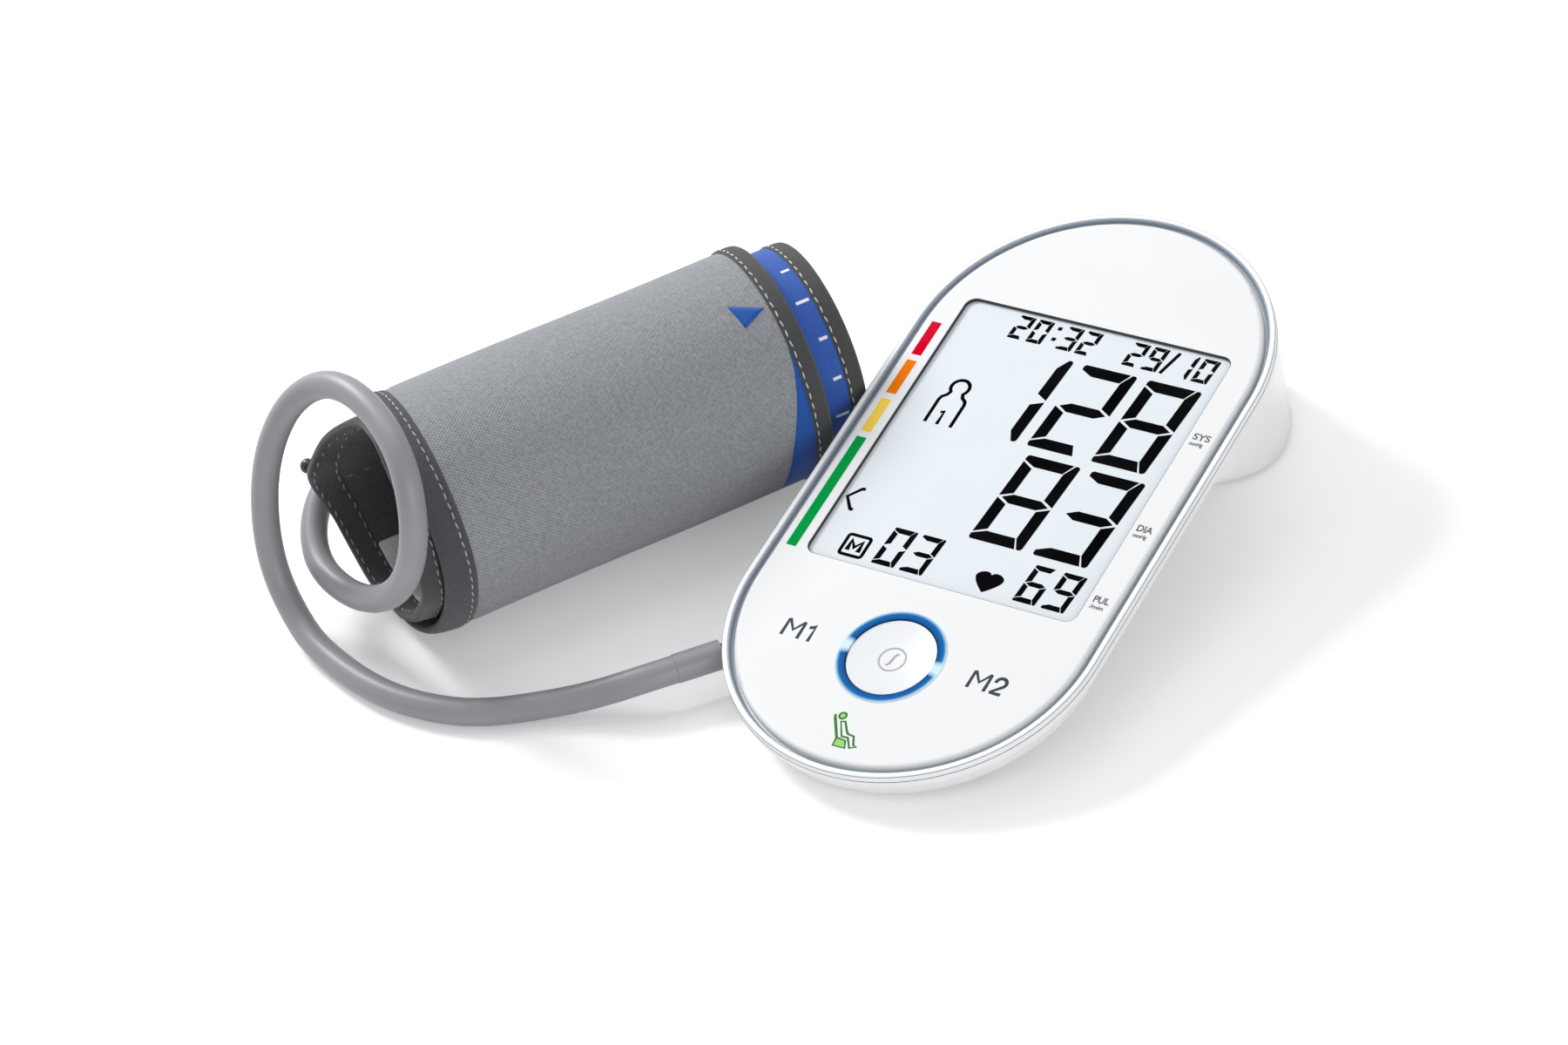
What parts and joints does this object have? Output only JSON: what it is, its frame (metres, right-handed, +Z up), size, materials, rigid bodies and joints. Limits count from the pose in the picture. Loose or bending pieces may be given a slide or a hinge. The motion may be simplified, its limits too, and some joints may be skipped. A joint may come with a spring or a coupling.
{
  "type": "blood pressure monitor",
  "caption": "Upper-arm blood pressure monitor: a tilted rounded console with a display and a ring-lit start button, a rolled fabric cuff and the air hose that joins them.",
  "frame": {"origin": "on the table, under the middle of the console and cuff together", "axes": "+Z up, the console's front towards -Y, the cuff on its -X side"},
  "size_m": [0.2197, 0.2066, 0.0791],
  "materials": {
    "white_housing": "satin moulded plastic",
    "white_face": "smooth satin plastic",
    "grey_trim": "satin silver grey",
    "clear_window": "clear polished plastic",
    "lcd": "liquid crystal cell",
    "light_guide": "clear blue light guide",
    "button_white": "satin moulded plastic",
    "board_green": "printed board",
    "black_part": "moulded epoxy",
    "soft_rubber": "soft rubber",
    "clear_tube": "silicone tube",
    "bright_metal": "plated steel",
    "cell_jacket": "printed battery jacket",
    "grey_fabric": "fine woven nylon",
    "dark_fabric": "dark woven nylon",
    "dark_tape": "ribbed edge tape",
    "blue_band": "printed blue band",
    "bladder_film": "welded film",
    "hose_grey": "smooth grey hose"
  },
  "bodies": {
    "console": {"front_housing": "white_housing", "rear_housing": "white_housing", "trim_ring": "grey_trim", "face_plate": "white_face", "display_window": "clear_window", "lcd_panel": "lcd", "backlight_plate": "white_face", "lcd_connectors": "soft_rubber", "circuit_board": "board_green", "control_chips": "black_part", "ring_leds": "light_guide", "button_switch": "black_part", "memory_touch_pads": "soft_rubber", "buzzer": "black_part", "button_light_ring": "light_guide", "housing_screws": "bright_metal", "rubber_feet": "soft_rubber", "batteries": "cell_jacket", "battery_contacts": "bright_metal", "battery_springs": "bright_metal", "pump_motor": "bright_metal", "pump_head": "black_part", "pump_cradle": "soft_rubber", "release_valve": "black_part", "air_manifold": "black_part", "pressure_sensor": "black_part", "main_air_tube": "clear_tube", "hose_socket": "black_part"},
    "button": {"start_button": "button_white", "switch_plunger": "black_part"},
    "cover": {"battery_cover": "white_housing"},
    "cuff_set": {"cuff_outer_wrap": "grey_fabric", "cuff_outer_binding": "dark_tape", "cuff_inner_wrap": "dark_fabric", "cuff_inner_binding": "dark_tape", "cuff_index_band": "blue_band", "cuff_bladder": "bladder_film", "cuff_hook_patch": "dark_fabric", "cuff_stiffener": "white_face", "cuff_bar": "bright_metal", "cuff_nozzle": "hose_grey", "air_hose": "hose_grey", "hose_plug": "hose_grey"}
  },
  "joints": [
    {"name": "start_button_press", "type": "slide", "parent": "console", "child": "button", "axis": [0, 0.2079, -0.9781], "range_m": [0, 0.0008], "stiffness_N_per_m": 2500},
    {"name": "battery_cover_slide", "type": "slide", "parent": "console", "child": "cover", "axis": [0, 1, 0], "range_m": [0, 0.012]},
    {"name": "hose_plug_pull", "type": "slide", "parent": "console", "child": "cuff_set", "axis": [-0.6428, -0.766, 0], "range_m": [0, 0.01]}
  ]
}
